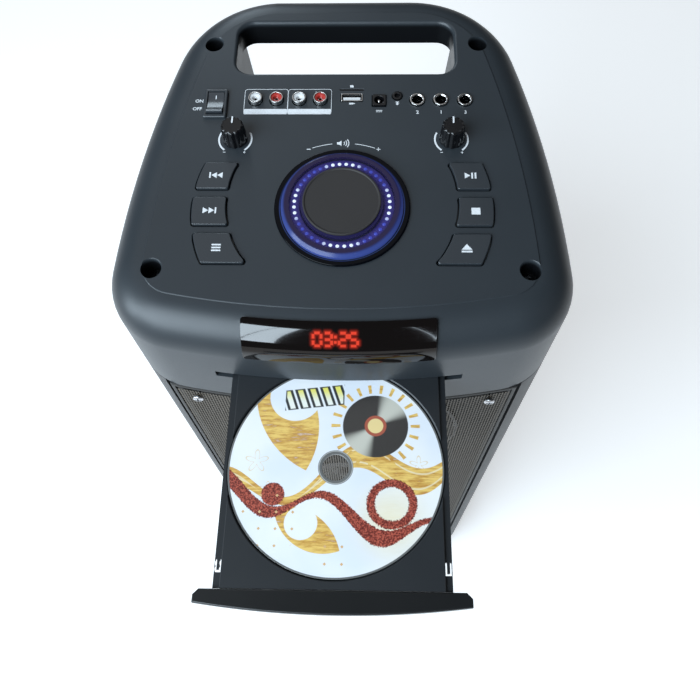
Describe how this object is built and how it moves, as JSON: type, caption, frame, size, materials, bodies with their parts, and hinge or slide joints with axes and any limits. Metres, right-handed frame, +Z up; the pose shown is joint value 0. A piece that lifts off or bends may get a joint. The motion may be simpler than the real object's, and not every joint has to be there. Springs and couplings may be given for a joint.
{
  "type": "karaoke machine",
  "caption": "Tower karaoke machine with a slide-out disc tray, volume dial, echo and microphone controls, power rocker and grille.",
  "frame": {"origin": "on the floor under the middle of the bounding box, with the disc tray open", "axes": "+Z up, -Y to the front where the tray slides out, +X to the right of someone facing the front"},
  "size_m": [0.2664, 0.3854, 0.6461],
  "materials": {
    "black_plastic": "satin",
    "cabinet_plastic": "fine texture",
    "loader_plastic": "fine texture",
    "door_plastic": "satin",
    "knob_plastic": "satin",
    "smoked_lens": "polished",
    "disc_print": "printed",
    "clear_dial": "polished",
    "led_ring": "diffusing",
    "zinc_steel": "zinc plated",
    "black_rubber": "matt",
    "cone_paper": "matt",
    "fibreboard": "black stained",
    "grille_steel": "satin",
    "circuit_board": "solder mask",
    "gear_nylon": "natural"
  },
  "bodies": {
    "cabinet": {"top_housing": "black_plastic", "housing_screw_front_left": "zinc_steel", "housing_screw_front_right": "zinc_steel", "housing_screw_rear_left": "zinc_steel", "housing_screw_rear_right": "zinc_steel", "display_lens": "smoked_lens", "display_module": "circuit_board", "cabinet_shell": "cabinet_plastic", "front_baffle": "fibreboard", "front_grille": "grille_steel", "grille_screw_left": "zinc_steel", "grille_screw_right": "zinc_steel", "service_cover": "cabinet_plastic", "cover_screw_lower": "zinc_steel", "cover_screw_upper": "zinc_steel", "foot_front_left": "black_rubber", "foot_front_right": "black_rubber", "foot_rear_left": "black_rubber", "foot_rear_right": "black_rubber", "woofer_upper": "zinc_steel", "woofer_lower": "zinc_steel", "tweeter": "knob_plastic", "equipment_shelf": "loader_plastic", "loader_chassis": "loader_plastic", "clamp_bridge": "zinc_steel", "tray_motor": "zinc_steel", "volume_bezel": "knob_plastic", "led_ring": "led_ring", "power_switch_frame": "knob_plastic", "rca_sockets_left": "knob_plastic", "rca_sockets_right": "knob_plastic", "usb_socket": "zinc_steel", "dc_socket": "knob_plastic", "microphone_jacks": "zinc_steel", "control_board": "circuit_board", "battery_pack": "knob_plastic", "amplifier": "knob_plastic"},
    "tray": {"disc_tray": "loader_plastic", "tray_door": "door_plastic"},
    "disc": {"disc": "disc_print"},
    "pinion": {"tray_pinion": "gear_nylon"},
    "traverse": {"traverse_plate": "zinc_steel", "spindle_motor": "zinc_steel", "pickup_rod": "zinc_steel"},
    "turntable": {"turntable": "loader_plastic"},
    "pickup_sled": {"pickup_sled": "loader_plastic"},
    "clamp_puck": {"clamp_puck": "loader_plastic"},
    "volume_dial": {"volume_dial": "clear_dial", "dial_cap": "knob_plastic"},
    "echo_knob": {"echo_knob": "knob_plastic"},
    "mic_volume_knob": {"mic_volume_knob": "knob_plastic"},
    "power_rocker": {"power_rocker": "knob_plastic"},
    "woofer_cone_upper": {"woofer_cone_upper": "cone_paper"},
    "woofer_cone_lower": {"woofer_cone_lower": "cone_paper"},
    "button_previous": {"button_previous": "black_plastic"},
    "button_play_pause": {"button_play_pause": "black_plastic"},
    "button_next": {"button_next": "black_plastic"},
    "button_stop": {"button_stop": "black_plastic"},
    "button_mode": {"button_mode": "black_plastic"},
    "button_eject": {"button_eject": "black_plastic"}
  },
  "joints": [
    {"name": "tray_slide", "type": "slide", "parent": "cabinet", "child": "tray", "axis": [0, 1, 0], "range_m": [0, 0.129]},
    {"name": "disc_spin", "type": "hinge", "parent": "tray", "child": "disc", "pos_m": [-0.0013, -0.1153, 0.5769], "axis": [0, 0, 1], "continuous": true},
    {"name": "tray_pinion_spin", "type": "hinge", "parent": "cabinet", "child": "pinion", "pos_m": [-0.0618, -0.0337, 0.5647], "axis": [-1, 0, 0], "range_deg": [0, 760]},
    {"name": "traverse_lift", "type": "slide", "parent": "cabinet", "child": "traverse", "axis": [0, 0, 1], "range_m": [0, 0.006]},
    {"name": "spindle_spin", "type": "hinge", "parent": "traverse", "child": "turntable", "pos_m": [-0.0013, 0.0137, 0.569], "axis": [0, 0, 1], "continuous": true},
    {"name": "clamp_spin", "type": "hinge", "parent": "cabinet", "child": "clamp_puck", "pos_m": [-0.0013, 0.0137, 0.583], "axis": [0, 0, 1], "continuous": true},
    {"name": "pickup_travel", "type": "slide", "parent": "traverse", "child": "pickup_sled", "axis": [0, 1, 0], "range_m": [0, 0.035]},
    {"name": "volume_turn", "type": "hinge", "parent": "cabinet", "child": "volume_dial", "pos_m": [0.0005, 0.02262, 0.63305], "axis": [0, -0.0698, 0.9976], "continuous": true},
    {"name": "echo_turn", "type": "hinge", "parent": "cabinet", "child": "echo_knob", "pos_m": [-0.0645, 0.06958, 0.63833], "axis": [0, -0.0698, 0.9976], "range_deg": [-150, 150]},
    {"name": "mic_volume_turn", "type": "hinge", "parent": "cabinet", "child": "mic_volume_knob", "pos_m": [0.0645, 0.06958, 0.63833], "axis": [0, -0.0698, 0.9976], "range_deg": [-150, 150]},
    {"name": "power_rock", "type": "hinge", "parent": "cabinet", "child": "power_rocker", "pos_m": [-0.0784, 0.09553, 0.63514], "axis": [1, 0, 0], "range_deg": [0, 18]},
    {"name": "press_previous", "type": "slide", "parent": "cabinet", "child": "button_previous", "axis": [0, 0.0698, -0.9976], "range_m": [0, 0.0012], "stiffness_N_per_m": 400, "springref_m": -0.0003},
    {"name": "press_play_pause", "type": "slide", "parent": "cabinet", "child": "button_play_pause", "axis": [0, 0.0698, -0.9976], "range_m": [0, 0.0012], "stiffness_N_per_m": 400, "springref_m": -0.0003},
    {"name": "press_next", "type": "slide", "parent": "cabinet", "child": "button_next", "axis": [0, 0.0698, -0.9976], "range_m": [0, 0.0012], "stiffness_N_per_m": 400, "springref_m": -0.0003},
    {"name": "press_stop", "type": "slide", "parent": "cabinet", "child": "button_stop", "axis": [0, 0.0698, -0.9976], "range_m": [0, 0.0012], "stiffness_N_per_m": 400, "springref_m": -0.0003},
    {"name": "press_mode", "type": "slide", "parent": "cabinet", "child": "button_mode", "axis": [0, 0.0698, -0.9976], "range_m": [0, 0.0012], "stiffness_N_per_m": 400, "springref_m": -0.0003},
    {"name": "press_eject", "type": "slide", "parent": "cabinet", "child": "button_eject", "axis": [0, 0.0698, -0.9976], "range_m": [0, 0.0012], "stiffness_N_per_m": 400, "springref_m": -0.0003},
    {"name": "cone_upper", "type": "slide", "parent": "cabinet", "child": "woofer_cone_upper", "axis": [0, 1, 0], "range_m": [-0.003, 0.003], "stiffness_N_per_m": 1500},
    {"name": "cone_lower", "type": "slide", "parent": "cabinet", "child": "woofer_cone_lower", "axis": [0, 1, 0], "range_m": [-0.003, 0.003], "stiffness_N_per_m": 1500}
  ],
  "couplings": [
    {"joint": "tray_pinion_spin", "follows": "tray_slide", "rad_per_m": 100},
    {"joint": "clamp_spin", "follows": "spindle_spin", "ratio": 1}
  ]
}
